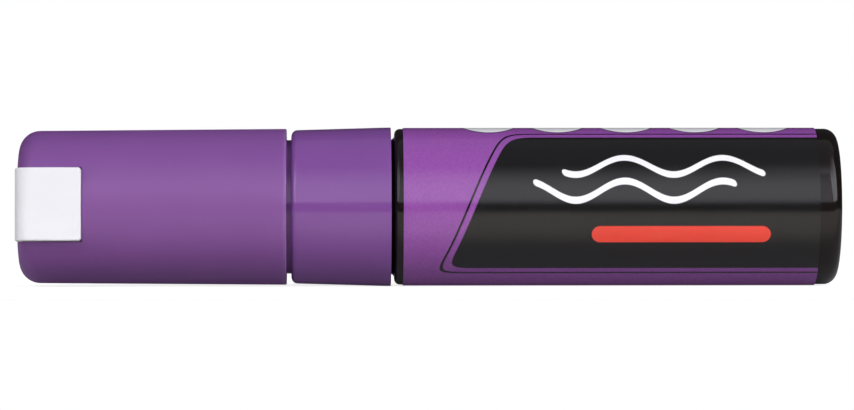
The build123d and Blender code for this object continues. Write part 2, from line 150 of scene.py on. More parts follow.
def moulded_plastic(name, dark, light, ior, specular, roughness, spread, flow_mm, grain_mm, grain_depth_mm):
    """Moulded plastic: a slow drift of tone from the melt's flow, and a fine grain or ripple in its skin."""
    made = bpy.data.materials.new(name)
    made.use_nodes = True
    tree = made.node_tree
    shader = tree.nodes["Principled BSDF"]
    place = add_node(tree, "ShaderNodeTexCoord").outputs["Object"]
    flow = add_node(
        tree,
        "ShaderNodeTexNoise",
        {"Vector": place, "Scale": 1 / (flow_mm * MM), "Detail": 3.0, "Roughness": 0.5},
    )
    tone = add_node(
        tree,
        "ShaderNodeMix",
        {"Factor": flow.outputs["Fac"], "A": hex_colour(dark), "B": hex_colour(light)},
        data_type="RGBA",
    )
    grain = add_node(
        tree,
        "ShaderNodeTexNoise",
        {"Vector": place, "Scale": 1 / (grain_mm * MM), "Detail": 2.0, "Roughness": 0.6},
    )
    gloss = add_node(
        tree,
        "ShaderNodeMapRange",
        {
            "Value": flow.outputs["Fac"],
            "From Min": MOTTLE_LOW,
            "From Max": MOTTLE_HIGH,
            "To Min": roughness - spread,
            "To Max": roughness + spread,
        },
    )
    relief = add_node(
        tree,
        "ShaderNodeBump",
        {"Height": grain.outputs["Fac"], "Strength": 1.0, "Distance": grain_depth_mm * MM},
    )
    tree.links.new(tone.outputs["Result"], shader.inputs["Base Color"])
    tree.links.new(gloss.outputs["Result"], shader.inputs["Roughness"])
    tree.links.new(relief.outputs["Normal"], shader.inputs["Normal"])
    shader.inputs["IOR"].default_value = ior
    shader.inputs["Specular IOR Level"].default_value = specular
    return made


bottle_profile = [
    (CAVITY_REAR_X, 0.0),
    (CAVITY_REAR_X, BOTTLE_BORE_RADIUS),
    (CAVITY_SHOULDER_X, BOTTLE_BORE_RADIUS),
    (CAVITY_NECK_X, BOTTLE_NECK_BORE_RADIUS),
    (BOTTLE_NECK_X, BOTTLE_NECK_BORE_RADIUS),
    (BOTTLE_NECK_X, BOTTLE_NECK_RADIUS),
    (BEAD_X - BEAD_HALF_WIDTH, BOTTLE_NECK_RADIUS),
    (BEAD_X, BEAD_RADIUS),
    (BEAD_X + BEAD_HALF_WIDTH, BOTTLE_NECK_RADIUS),
    (SHOULDER_X, BOTTLE_NECK_RADIUS),
    (SHOULDER_X, BOTTLE_RADIUS),
    (TAIL_X, BOTTLE_RADIUS),
    (TAIL_X, 0.0),
]
bottle_rounds = {
    (CAVITY_REAR_X, BOTTLE_BORE_RADIUS): CAVITY_ROUND,
    (SHOULDER_X, BOTTLE_NECK_RADIUS): NECK_ROOT_FILLET,
    (SHOULDER_X, BOTTLE_RADIUS): SHOULDER_ROUND,
    (TAIL_X, BOTTLE_RADIUS): TAIL_ROUND,
}
bottle = piece("bottle_body", turned(bottle_profile, bottle_rounds))

# Black polypropylene from a polished mould: near black, with clear reflections that ripple very slightly.
black_polypropylene = moulded_plastic(
    "polished_black_polypropylene",
    dark="#161110",
    light="#1a1514",
    ior=1.49,
    specular=0.38,
    roughness=0.1,
    spread=0.02,
    flow_mm=14.0,
    grain_mm=2.4,
    grain_depth_mm=0.0012,
)
bottle.data.materials.append(black_polypropylene)
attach(bottle, "barrel")
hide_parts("bottle")

# Label
# A pearl polyester film, printed and lacquered, wrapped once round the bottle and glued along an overlap at
# the back. Its print is plain: a black panel with a slanted front, two waves, a red stroke and blank discs.
LABEL_FRONT_X = -4.4
LABEL_REAR_X = 67.7
LABEL_INSIDE_RADIUS = 13.671
LABEL_RADIUS = 13.821
label_profile = [
    (LABEL_FRONT_X, LABEL_INSIDE_RADIUS),
    (LABEL_FRONT_X, LABEL_RADIUS),
    (LABEL_REAR_X, LABEL_RADIUS),
    (LABEL_REAR_X, LABEL_INSIDE_RADIUS),
]
label = piece("label_film", turned(label_profile, {}))

# Printed film: the purple has a fine pearl shimmer, drawn coarser than it is so that it shows. The inks lie
# flat under a clear gloss lacquer, which is a little duller over the black panel. Along is measured from the
# film's front, and girth up from facing the viewer.
PANEL_LEAD = 12.5
PANEL_SLOPE = 0.42
PANEL_LOWER = -12.2
PANEL_UPPER = 14.6
PANEL_CORNER = 5.0
PINSTRIPE_OFFSET = 1.3
PINSTRIPE_HALF_WIDTH = 0.2
UPPER_WAVE_CENTRE = 7.4
UPPER_WAVE_SPAN = (28.0, 62.0)
LOWER_WAVE_CENTRE = 2.8
LOWER_WAVE_SPAN = (23.0, 57.0)
WAVE_HALF_HEIGHT = 1.7
WAVE_LENGTH = 17.0
WAVE_HALF_WIDTH = 0.62
STROKE_CENTRE = -4.9
STROKE_SPAN = (34.0, 62.0)
STROKE_HALF_WIDTH = 1.5
DISC_ROW_FRONT = 9.0
DISC_ROW_REAR = 69.0
DISC_PITCH = 12.0
DISC_CENTRE = 21.2
DISC_RADIUS = 4.7
DISC_RIM = 0.3
SEAM_HALF_WIDTH = 0.08
PRINT_SOFTNESS = 0.05
PEARL_SPECK = 0.25
LACQUER_SPECK = 0.6
LACQUER_SPECK_LOW = 0.2
LACQUER_SPECK_HIGH = 0.8
LACQUER_SMOOTHEST = 0.13
LACQUER_ROUGHEST = 0.18
PANEL_DULLNESS = 0.05
FILM_RIPPLE = 6.0
FILM_RIPPLE_DEPTH = 0.003
FILM_IOR = 1.55
FILM_SPECULAR = 0.52
PEARL_DARK = "#894799"
PEARL_LIGHT = "#9050a0"
BLACK_INK = "#0a090a"
WHITE_INK = "#f2f2f2"
RED_INK = "#e8402f"
OVERLAP_SHADE = "#5a3068"

pearl_film = bpy.data.materials.new("printed_pearl_film")
pearl_film.use_nodes = True
film_tree = pearl_film.node_tree
film_shader = film_tree.nodes["Principled BSDF"]
film_mm = add_node(
    film_tree,
    "ShaderNodeMapping",
    {
        "Vector": add_node(film_tree, "ShaderNodeTexCoord").outputs["Object"],
        "Location": (-LABEL_FRONT_X, 0.0, -AXIS_HEIGHT),
        "Scale": (1 / MM, 1 / MM, 1 / MM),
    },
)
film_axes = add_node(film_tree, "ShaderNodeSeparateXYZ", {"Vector": film_mm.outputs["Vector"]})
film = {"along": film_axes.outputs["X"], "back": film_axes.outputs["Y"], "up": film_axes.outputs["Z"]}

# Each step is a sum on the steps before it. A printed shape is a distance that is positive inside the shape.
print_steps = [
    ("front", "MULTIPLY", "back", -1.0),
    ("angle", "ARCTAN2", "up", "front"),
    ("girth", "MULTIPLY", "angle", LABEL_RADIUS),
    ("slant", "MULTIPLY_ADD", "girth", PANEL_SLOPE, PANEL_LEAD),
    ("panel_front", "SUBTRACT", "along", "slant"),
    ("panel_below", "SUBTRACT", "girth", PANEL_LOWER),
    ("panel_above", "SUBTRACT", PANEL_UPPER, "girth"),
    ("panel_foot", "SMOOTH_MIN", "panel_front", "panel_below", PANEL_CORNER),
    ("panel", "SMOOTH_MIN", "panel_foot", "panel_above", PANEL_CORNER),
    ("stripe_line", "ADD", "panel", PINSTRIPE_OFFSET),
    ("stripe_away", "ABSOLUTE", "stripe_line"),
    ("pinstripe", "SUBTRACT", PINSTRIPE_HALF_WIDTH, "stripe_away"),
    ("wave_angle", "MULTIPLY", "along", math.tau / WAVE_LENGTH),
    ("wave_swing", "SINE", "wave_angle"),
    ("upper_line", "MULTIPLY_ADD", "wave_swing", WAVE_HALF_HEIGHT, UPPER_WAVE_CENTRE),
    ("lower_line", "MULTIPLY_ADD", "wave_swing", WAVE_HALF_HEIGHT, LOWER_WAVE_CENTRE),
    ("disc_cell", "WRAP", "along", DISC_ROW_FRONT + DISC_PITCH, DISC_ROW_FRONT),
    ("disc_aside", "SUBTRACT", "disc_cell", DISC_ROW_FRONT + DISC_PITCH / 2),
    ("disc_above", "SUBTRACT", "girth", DISC_CENTRE),
    ("disc_above_squared", "MULTIPLY", "disc_above", "disc_above"),
    ("disc_squared", "MULTIPLY_ADD", "disc_aside", "disc_aside", "disc_above_squared"),
    ("disc_away", "SQRT", "disc_squared"),
    ("disc_inside", "SUBTRACT", DISC_RADIUS, "disc_away"),
    ("row_behind", "SUBTRACT", "along", DISC_ROW_FRONT),
    ("row_ahead", "SUBTRACT", DISC_ROW_REAR, "along"),
    ("row", "MINIMUM", "row_behind", "row_ahead"),
    ("disc_edge", "MINIMUM", "disc_inside", "row"),
    ("disc", "SUBTRACT", "disc_edge", DISC_RIM),
    ("girth_size", "ABSOLUTE", "girth"),
    ("overlap", "SUBTRACT", "girth_size", math.pi * LABEL_RADIUS - SEAM_HALF_WIDTH),
]
for stroke, line, half_width, (start, end) in (
    ("upper_wave", "upper_line", WAVE_HALF_WIDTH, UPPER_WAVE_SPAN),
    ("lower_wave", "lower_line", WAVE_HALF_WIDTH, LOWER_WAVE_SPAN),
    ("red_stroke", STROKE_CENTRE, STROKE_HALF_WIDTH, STROKE_SPAN),
):
    print_steps += [
        (stroke + "_before", "SUBTRACT", start, "along"),
        (stroke + "_after", "SUBTRACT", "along", end),
        (stroke + "_ends", "MAXIMUM", stroke + "_before", stroke + "_after"),
        (stroke + "_past", "MAXIMUM", stroke + "_ends", 0.0),
        (stroke + "_aside", "SUBTRACT", "girth", line),
        (stroke + "_aside_squared", "MULTIPLY", stroke + "_aside", stroke + "_aside"),
        (stroke + "_squared", "MULTIPLY_ADD", stroke + "_past", stroke + "_past", stroke + "_aside_squared"),
        (stroke + "_away", "SQRT", stroke + "_squared"),
        (stroke, "SUBTRACT", half_width, stroke + "_away"),
    ]
for step, operation, *values in print_steps:
    sockets = {place: film.get(value, value) for place, value in enumerate(values)}
    film[step] = add_node(film_tree, "ShaderNodeMath", sockets, operation=operation).outputs[0]
film_plane = add_node(
    film_tree, "ShaderNodeCombineXYZ", {"X": film["along"], "Y": film["girth"]}
).outputs["Vector"]

pearl = add_node(film_tree, "ShaderNodeTexVoronoi", {"Vector": film_plane, "Scale": 1 / PEARL_SPECK})
pearl_levels = add_node(film_tree, "ShaderNodeSeparateColor", {"Color": pearl.outputs["Color"]})
film_colour = add_node(
    film_tree,
    "ShaderNodeMix",
    {"Factor": pearl_levels.outputs["Red"], "A": hex_colour(PEARL_DARK), "B": hex_colour(PEARL_LIGHT)},
    data_type="RGBA",
).outputs["Result"]
covers = {}
for shape, ink in (
    ("panel", BLACK_INK),
    ("pinstripe", BLACK_INK),
    ("upper_wave", WHITE_INK),
    ("lower_wave", WHITE_INK),
    ("red_stroke", RED_INK),
    ("disc_edge", BLACK_INK),
    ("disc", WHITE_INK),
    ("overlap", OVERLAP_SHADE),
):
    covers[shape] = add_node(
        film_tree,
        "ShaderNodeMapRange",
        {"Value": film[shape], "From Min": -PRINT_SOFTNESS, "From Max": PRINT_SOFTNESS},
    ).outputs["Result"]
    film_colour = add_node(
        film_tree,
        "ShaderNodeMix",
        {"Factor": covers[shape], "A": film_colour, "B": hex_colour(ink)},
        data_type="RGBA",
    ).outputs["Result"]

ripple = add_node(
    film_tree, "ShaderNodeTexNoise", {"Vector": film_plane, "Scale": 1 / FILM_RIPPLE, "Detail": 2.0}
)
film_relief = add_node(
    film_tree,
    "ShaderNodeBump",
    {"Height": ripple.outputs["Fac"], "Strength": 1.0, "Distance": FILM_RIPPLE_DEPTH * MM},
)
lacquer = add_node(
    film_tree, "ShaderNodeTexNoise", {"Vector": film_plane, "Scale": 1 / LACQUER_SPECK, "Detail": 3.0}
)
film_gloss = add_node(
    film_tree,
    "ShaderNodeMapRange",
    {
        "Value": lacquer.outputs["Fac"],
        "From Min": LACQUER_SPECK_LOW,
        "From Max": LACQUER_SPECK_HIGH,
        "To Min": LACQUER_SMOOTHEST,
        "To Max": LACQUER_ROUGHEST,
    },
)
film_tree.links.new(film_colour, film_shader.inputs["Base Color"])
print_gloss = add_node(
    film_tree,
    "ShaderNodeMath",
    {0: covers["panel"], 1: PANEL_DULLNESS, 2: film_gloss.outputs["Result"]},
    operation="MULTIPLY_ADD",
)
film_tree.links.new(print_gloss.outputs[0], film_shader.inputs["Roughness"])
film_tree.links.new(film_relief.outputs["Normal"], film_shader.inputs["Normal"])
film_shader.inputs["IOR"].default_value = FILM_IOR
film_shader.inputs["Specular IOR Level"].default_value = FILM_SPECULAR
label.data.materials.append(pearl_film)
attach(label, "barrel")
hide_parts("label_sleeve")

# Front section
# The purple piece that closes the bottle: a neck for the cap and a flared collar, moulded in one in
# polypropylene. It is pushed over the bottle's neck, and a groove in its skirt snaps over the bead.
COLLAR_FRONT_X = -23.9
COLLAR_REAR_X = -6.5
COLLAR_FRONT_RADIUS = 13.401
COLLAR_REAR_RADIUS = 13.901
COLLAR_SWELL = 0.06
COLLAR_CORNER_RADIUS = 1.05
COLLAR_RIM_CHAMFER = 0.3
SKIRT_BORE_RADIUS = 11.701
GROOVE_HALF_WIDTH = 0.95
GROOVE_RADIUS = 12.301
WEB_REAR_X = -21.5
VALVE_BORE_RADIUS = 10.101
HOLDER_STEP_X = -41.9
NOSE_BORE_RADIUS = 8.751
NECK_FRONT_X = -43.5
NECK_RADIUS = 11.701
NECK_CHAMFER = 0.8
collar_bow = (
    (COLLAR_FRONT_X + COLLAR_REAR_X) / 2,
    (COLLAR_FRONT_RADIUS + COLLAR_REAR_RADIUS) / 2 + 2 * COLLAR_SWELL,
)
front_profile = [
    (COLLAR_FRONT_X, NECK_RADIUS),
    (COLLAR_FRONT_X, COLLAR_FRONT_RADIUS),
    collar_bow,
    (COLLAR_REAR_X, COLLAR_REAR_RADIUS),
    (COLLAR_REAR_X, SKIRT_BORE_RADIUS + COLLAR_RIM_CHAMFER),
    (COLLAR_REAR_X - COLLAR_RIM_CHAMFER, SKIRT_BORE_RADIUS),
    (BEAD_X + GROOVE_HALF_WIDTH, SKIRT_BORE_RADIUS),
    (BEAD_X, GROOVE_RADIUS),
    (BEAD_X - GROOVE_HALF_WIDTH, SKIRT_BORE_RADIUS),
    (WEB_REAR_X, SKIRT_BORE_RADIUS),
    (WEB_REAR_X, VALVE_BORE_RADIUS),
    (HOLDER_STEP_X, VALVE_BORE_RADIUS),
    (HOLDER_STEP_X, NOSE_BORE_RADIUS),
    (NECK_FRONT_X, NOSE_BORE_RADIUS),
    (NECK_FRONT_X, NECK_RADIUS - NECK_CHAMFER),
    (NECK_FRONT_X + NECK_CHAMFER, NECK_RADIUS),
]
COLLAR_BOW_REACH = 7.2
COLLAR_RIM_ROUND = 0.12
front_rounds = {
    (COLLAR_FRONT_X, COLLAR_FRONT_RADIUS): COLLAR_CORNER_RADIUS,
    collar_bow: COLLAR_BOW_REACH,
    (COLLAR_REAR_X, COLLAR_REAR_RADIUS): COLLAR_RIM_ROUND,
}
front_section = piece("front_section_body", turned(front_profile, front_rounds))

# Purple polypropylene from a polished mould: a saturated body colour under clear, slightly rippled gloss.
gloss_purple = moulded_plastic(
    "polished_purple_polypropylene",
    dark="#77478d",
    light="#7b4b91",
    ior=1.49,
    specular=0.5,
    roughness=0.07,
    spread=0.01,
    flow_mm=11.0,
    grain_mm=2.2,
    grain_depth_mm=0.0008,
)
front_section.data.materials.append(gloss_purple)
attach(front_section, "barrel")
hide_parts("front_section")

# Nib holder
# The black nose that guides the nib, moulded in polypropylene and trapped in the front of the neck. A flat
# channel runs through it, with a narrow vent on each side of the nib.
NOSE_FRONT_X = -52.5
HOLDER_REAR_X = -35.5
NOSE_RADIUS = 8.701
NOSE_CHAMFER = 0.6
VALVE_RADIUS = 10.051
CHANNEL_WIDTH = 14.2
CHANNEL_THICKNESS = 5.2
VENT_WIDTH = 1.8
VENT_DEPTH = 0.8
CUT_OVERRUN = 1.0
SAME_PLACE = 0.001


def block(low, high):
    """A bmesh box between two corners in millimetres, measured from the marker's axis."""
    bm = bmesh.new()
    bmesh.ops.create_cube(bm, size=1.0)
    size = (Vector(high) - Vector(low)) * MM
    middle = (Vector(high) + Vector(low)) / 2 * MM
    bmesh.ops.scale(bm, verts=bm.verts, vec=size)
    bmesh.ops.translate(bm, verts=bm.verts, vec=middle + Vector((0.0, 0.0, AXIS_HEIGHT * MM)))
    return bm


def combined(body, operation, others):
    """Takes other shapes out of a piece, or joins them to it, as the boolean operation says."""
    for other in others:
        step = body.modifiers.new(other.name, "BOOLEAN")
        step.operation = operation
        step.object = other
    shaped = bpy.data.meshes.new_from_object(body.evaluated_get(bpy.context.evaluated_depsgraph_get()))
    bm = bmesh.new()
    bm.from_mesh(shaped)
    bmesh.ops.remove_doubles(bm, verts=bm.verts, dist=SAME_PLACE * MM)
    name = body.name
    for spent in [body, *others]:
        bpy.data.objects.remove(spent)
    return piece(name, bm)


holder_profile = [
    (NOSE_FRONT_X, 0.0),
    (NOSE_FRONT_X, NOSE_RADIUS - NOSE_CHAMFER),
    (NOSE_FRONT_X + NOSE_CHAMFER, NOSE_RADIUS),
    (HOLDER_STEP_X, NOSE_RADIUS),
    (HOLDER_STEP_X, VALVE_RADIUS),
    (HOLDER_REAR_X, VALVE_RADIUS),
    (HOLDER_REAR_X, 0.0),
]
channel_low_x = NOSE_FRONT_X - CUT_OVERRUN
channel_high_x = HOLDER_REAR_X + CUT_OVERRUN
channel_cutter = piece(
    "nib_channel",
    block(
        (channel_low_x, -CHANNEL_THICKNESS / 2, -CHANNEL_WIDTH / 2),
        (channel_high_x, CHANNEL_THICKNESS / 2, CHANNEL_WIDTH / 2),
    ),
)
vent_reach = CHANNEL_THICKNESS / 2 + VENT_DEPTH
vent_cutter = piece(
    "nib_vents",
    block((channel_low_x, -vent_reach, -VENT_WIDTH / 2), (channel_high_x, vent_reach, VENT_WIDTH / 2)),
)
nib_holder = combined(
    piece("nib_holder_body", turned(holder_profile, {})), "DIFFERENCE", [channel_cutter, vent_cutter]
)

# Black polypropylene from a plain mould: satin, with a fine grain that breaks up the highlights.
satin_black = moulded_plastic(
    "satin_black_polypropylene",
    dark="#1b1b1c",
    light="#262627",
    ior=1.49,
    specular=0.5,
    roughness=0.42,
    spread=0.05,
    flow_mm=7.0,
    grain_mm=0.35,
    grain_depth_mm=0.004,
)
nib_holder.data.materials.append(satin_black)
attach(nib_holder, "barrel")
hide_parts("nib_holder")

# Nib
# A block of bonded polyester felt, cut with a slanted writing edge and bevelled on both faces. It slides in
# its holder, and pressing it opens the valve behind it.
NIB_WIDTH = 14.0
NIB_THICKNESS = 5.0
NIB_TIP_X = -62.5
NIB_REAR_X = -34.1
NIB_SLANT = 2.0
NIB_BEVEL_DEPTH = 1.4
NIB_BEVEL_LENGTH = 3.6
NIB_EDGE_ROUND = 0.18
NIB_EDGE_SEGMENTS = 3
nib_mesh = block(
    (NIB_TIP_X, -NIB_THICKNESS / 2, -NIB_WIDTH / 2),
    (NIB_REAR_X, NIB_THICKNESS / 2, NIB_WIDTH / 2),
)
writing_corners = [v for v in nib_mesh.verts if v.co.x < (NIB_TIP_X + NIB_REAR_X) / 2 * MM]
for corner in writing_corners:
    if corner.co.z > AXIS_HEIGHT * MM:
        corner.co.x += NIB_SLANT * MM
writing_face = min(nib_mesh.faces, key=lambda face: face.calc_center_median().x)
bevelled = bmesh.ops.extrude_discrete_faces(nib_mesh, faces=[writing_face])["faces"]
tip_corners = list(bevelled[0].verts)
for corner in writing_corners:
    corner.co.x += NIB_BEVEL_LENGTH * MM
bmesh.ops.bridge_loops(nib_mesh, edges=[e for e in nib_mesh.edges if e.is_boundary])
for corner in tip_corners:
    corner.co.y -= math.copysign(NIB_BEVEL_DEPTH * MM, corner.co.y)
bmesh.ops.remove_doubles(nib_mesh, verts=nib_mesh.verts, dist=SAME_PLACE * MM)
bmesh.ops.recalc_face_normals(nib_mesh, faces=nib_mesh.faces)
bmesh.ops.bevel(
    nib_mesh,
    geom=nib_mesh.edges[:],
    offset=NIB_EDGE_ROUND * MM,
    offset_type="OFFSET",
    segments=NIB_EDGE_SEGMENTS,
    profile=0.5,
    affect="EDGES",
    material=-1,
)
nib = piece("nib_block", nib_mesh)

# Bonded felt: chalky white fibres that run along the nib, matt and slightly fuzzy.
FIBRE_LENGTH = 2.4
FIBRE_SPACING = 0.16
FIBRE_DEPTH = 0.05
FELT_SHADE = "#cfcdc6"
FELT_WHITE = "#f1efe9"
FELT_ROUGHNESS = 0.9
FELT_FUZZ = 0.25
FELT_FUZZ_ROUGHNESS = 0.5
felt = bpy.data.materials.new("bonded_polyester_felt")
felt.use_nodes = True
felt_tree = felt.node_tree
felt_shader = felt_tree.nodes["Principled BSDF"]
felt_place = add_node(
    felt_tree,
    "ShaderNodeMapping",
    {
        "Vector": add_node(felt_tree, "ShaderNodeTexCoord").outputs["Object"],
        "Scale": (1 / (FIBRE_LENGTH * MM), 1 / (FIBRE_SPACING * MM), 1 / (FIBRE_SPACING * MM)),
    },
)
fibres = add_node(
    felt_tree,
    "ShaderNodeTexNoise",
    {"Vector": felt_place.outputs["Vector"], "Scale": 1.0, "Detail": 3.0, "Roughness": 0.65},
)
felt_tone = add_node(
    felt_tree,
    "ShaderNodeMix",
    {"Factor": fibres.outputs["Fac"], "A": hex_colour(FELT_SHADE), "B": hex_colour(FELT_WHITE)},
    data_type="RGBA",
)
felt_relief = add_node(
    felt_tree,
    "ShaderNodeBump",
    {"Height": fibres.outputs["Fac"], "Strength": 0.8, "Distance": FIBRE_DEPTH * MM},
)
felt_tree.links.new(felt_tone.outputs["Result"], felt_shader.inputs["Base Color"])
felt_tree.links.new(felt_relief.outputs["Normal"], felt_shader.inputs["Normal"])
felt_shader.inputs["Roughness"].default_value = FELT_ROUGHNESS
felt_shader.inputs["Sheen Weight"].default_value = FELT_FUZZ
felt_shader.inputs["Sheen Roughness"].default_value = FELT_FUZZ_ROUGHNESS
nib.data.materials.append(felt)
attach(nib, "nib_unit")
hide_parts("nib")

# Valve
# The sprung valve behind the nib: pusher, seat, stem and cage, turned or moulded in natural acetal. They lie
# inside the neck, pressed or snapped together, and the nib pushes the stem off its seat.

# Natural acetal: milky white and hard, with a soft, slightly waxy highlight.
natural_acetal = moulded_plastic(
    "natural_acetal",
    dark="#d9d8d0",
    light="#e6e5de",
    ior=1.48,
    specular=0.5,
    roughness=0.38,
    spread=0.05,
    flow_mm=5.0,
    grain_mm=0.3,
    grain_depth_mm=0.003,
)
for node in ("nib_pusher", "valve_seat", "valve_stem", "valve_cage"):
    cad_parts[node].material_slots[0].material = natural_acetal

# Valve seal and neck gasket
# Two black rings moulded in nitrile rubber. The seal closes on the valve's seat, and the gasket is squeezed
# between the valve's flange and the bottle's neck.

# Nitrile rubber: a dull black with a fine skin that hardly shines.
nitrile_rubber = moulded_plastic(
    "moulded_nitrile_rubber",
    dark="#171717",
    light="#232323",
    ior=1.52,
    specular=0.5,
    roughness=0.62,
    spread=0.06,
    flow_mm=3.0,
    grain_mm=0.2,
    grain_depth_mm=0.006,
)
for node in ("valve_seal", "neck_gasket"):
    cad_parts[node].material_slots[0].material = nitrile_rubber

# Valve spring and mixing balls
# The spring is hard-drawn stainless wire, and the two balls that stir the ink are tumbled stainless steel.
# The spring sits between the valve's head and its cage, and the balls lie loose in the bottle.
DRAW_MARK_LENGTH = 3.0
DRAW_MARK_SPACING = 0.08
STEEL_DARK = "#bdbec0"
STEEL_LIGHT = "#d2d3d5"
STEEL_SMOOTHEST = 0.16
STEEL_ROUGHEST = 0.28

# Stainless steel: bright and a little blurred, with fine marks from drawing and tumbling.
steel = bpy.data.materials.new("stainless_steel")
steel.use_nodes = True
steel_tree = steel.node_tree
steel_shader = steel_tree.nodes["Principled BSDF"]
steel_place = add_node(
    steel_tree,
    "ShaderNodeMapping",
    {
        "Vector": add_node(steel_tree, "ShaderNodeTexCoord").outputs["Object"],
        "Scale": (1 / (DRAW_MARK_SPACING * MM), 1 / (DRAW_MARK_LENGTH * MM), 1 / (DRAW_MARK_LENGTH * MM)),
    },
)
draw_marks = add_node(
    steel_tree,
    "ShaderNodeTexNoise",
    {"Vector": steel_place.outputs["Vector"], "Scale": 1.0, "Detail": 2.0},
)
steel_tone = add_node(
    steel_tree,
    "ShaderNodeMix",
    {"Factor": draw_marks.outputs["Fac"], "A": hex_colour(STEEL_DARK), "B": hex_colour(STEEL_LIGHT)},
    data_type="RGBA",
)
steel_gloss = add_node(
    steel_tree,
    "ShaderNodeMapRange",
    {
        "Value": draw_marks.outputs["Fac"],
        "From Min": MOTTLE_LOW,
        "From Max": MOTTLE_HIGH,
        "To Min": STEEL_SMOOTHEST,
        "To Max": STEEL_ROUGHEST,
    },
)
steel_tree.links.new(steel_tone.outputs["Result"], steel_shader.inputs["Base Color"])
steel_tree.links.new(steel_gloss.outputs["Result"], steel_shader.inputs["Roughness"])
steel_shader.inputs["Metallic"].default_value = 1.0
for node in ("mixing_ball_1", "mixing_ball_2"):
    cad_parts[node].material_slots[0].material = steel

SPRING_WIRE_RADIUS = 0.3
SPRING_RADIUS = 3.0
SPRING_FRONT_X = -25.3
SPRING_REAR_X = -15.3
SPRING_TURNS = 5
STEPS_PER_TURN = 48
WIRE_SEGMENTS = 14
spring_length = SPRING_REAR_X - SPRING_FRONT_X
spring_rise = (spring_length - 2 * SPRING_WIRE_RADIUS) / SPRING_TURNS
spring_mesh = bmesh.new()
bmesh.ops.create_circle(spring_mesh, segments=WIRE_SEGMENTS, radius=SPRING_WIRE_RADIUS * MM)
bmesh.ops.rotate(
    spring_mesh,
    verts=spring_mesh.verts,
    matrix=Matrix.Rotation(math.atan(spring_rise / (math.tau * SPRING_RADIUS)), 3, "Y"),
)
bmesh.ops.translate(
    spring_mesh,
    verts=spring_mesh.verts,
    vec=Vector((SPRING_FRONT_X + SPRING_WIRE_RADIUS, -SPRING_RADIUS, AXIS_HEIGHT)) * MM,
)
bmesh.ops.spin(
    spring_mesh,
    geom=spring_mesh.verts[:] + spring_mesh.edges[:],
    cent=(0.0, 0.0, AXIS_HEIGHT * MM),
    axis=(-1.0, 0.0, 0.0),
    dvec=(spring_rise / STEPS_PER_TURN * MM, 0.0, 0.0),
    angle=SPRING_TURNS * math.tau,
    steps=SPRING_TURNS * STEPS_PER_TURN,
)
bmesh.ops.holes_fill(spring_mesh, edges=[edge for edge in spring_mesh.edges if edge.is_boundary])
bmesh.ops.recalc_face_normals(spring_mesh, faces=spring_mesh.faces)
spring = piece("valve_spring_wire", spring_mesh)
spring.data.materials.append(steel)
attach(spring, "barrel")
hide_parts("valve_spring")
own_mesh(spring)

# Cap shell
# The matt purple cap, moulded in polypropylene in a sand-blasted mould, so that it grips well. It pushes onto
# the neck, and a flat-bottomed pocket and an end channel take the white crown.
CAP_END_X = -71.4
CAP_MOUTH_X = -24.7
CAP_FLOOR_X = -68.8
CAP_STEP_X = -58.4
CAP_END_RADIUS = 13.301
CAP_MOUTH_RADIUS = 13.651
CAP_BORE_RADIUS = 11.801
CAP_CAVITY_RADIUS = 9.901
CAP_CORNER_RADIUS = 3.6
CAP_MOUTH_ROUND = 0.25
CAP_LEAD_IN = 0.5
CROWN_TURN = 2.2
CHANNEL_FLOOR_X = -70.4
TAB_REAR_X = -60.09
TAB_HALF_WIDTH = 6.35
TAB_THICKNESS = 2.75
TAB_PROUD = 0.4
TAB_GAP = 0.1
TAB_FACE = CAP_END_RADIUS + TAB_PROUD
TAB_SEAT = TAB_FACE - TAB_THICKNESS
BAR_REACH = 8.0
PEG_RADIUS = 1.2
PEG_OFFSETS = (-4.5, 4.5)
PEG_END_X = -69.2
PRESS_CLEARANCE = 0.05
ROD_SEGMENTS = 48
cap_profile = [
    (CAP_END_X, 0.0),
    (CAP_END_X, CAP_END_RADIUS),
    (CAP_MOUTH_X, CAP_MOUTH_RADIUS),
    (CAP_MOUTH_X, CAP_BORE_RADIUS + CAP_LEAD_IN),
    (CAP_MOUTH_X - CAP_LEAD_IN, CAP_BORE_RADIUS),
    (CAP_STEP_X, CAP_BORE_RADIUS),
    (CAP_STEP_X, CAP_CAVITY_RADIUS),
    (CAP_FLOOR_X, CAP_CAVITY_RADIUS),
    (CAP_FLOOR_X, 0.0),
]
cap_rounds = {
    (CAP_END_X, CAP_END_RADIUS): CAP_CORNER_RADIUS,
    (CAP_MOUTH_X, CAP_MOUTH_RADIUS): CAP_MOUTH_ROUND,
}


def turned_up(bm, degrees):
    """Turns a shape about the marker's axis, upwards from facing the viewer."""
    bmesh.ops.rotate(
        bm,
        verts=bm.verts,
        cent=(0.0, 0.0, AXIS_HEIGHT * MM),
        matrix=Matrix.Rotation(math.radians(-degrees), 3, "X"),
    )
    return bm


def rod(low_x, high_x, radius, offset):
    """A round rod along the marker, at some offset from its axis on the far side."""
    bm = bmesh.new()
    bmesh.ops.create_cone(
        bm,
        cap_ends=True,
        segments=ROD_SEGMENTS,
        radius1=radius * MM,
        radius2=radius * MM,
        depth=(high_x - low_x) * MM,
    )
    bmesh.ops.rotate(bm, verts=bm.verts, matrix=Matrix.Rotation(math.pi / 2, 3, "Y"))
    bmesh.ops.translate(bm, verts=bm.verts, vec=Vector(((low_x + high_x) / 2, offset, AXIS_HEIGHT)) * MM)
    return bm


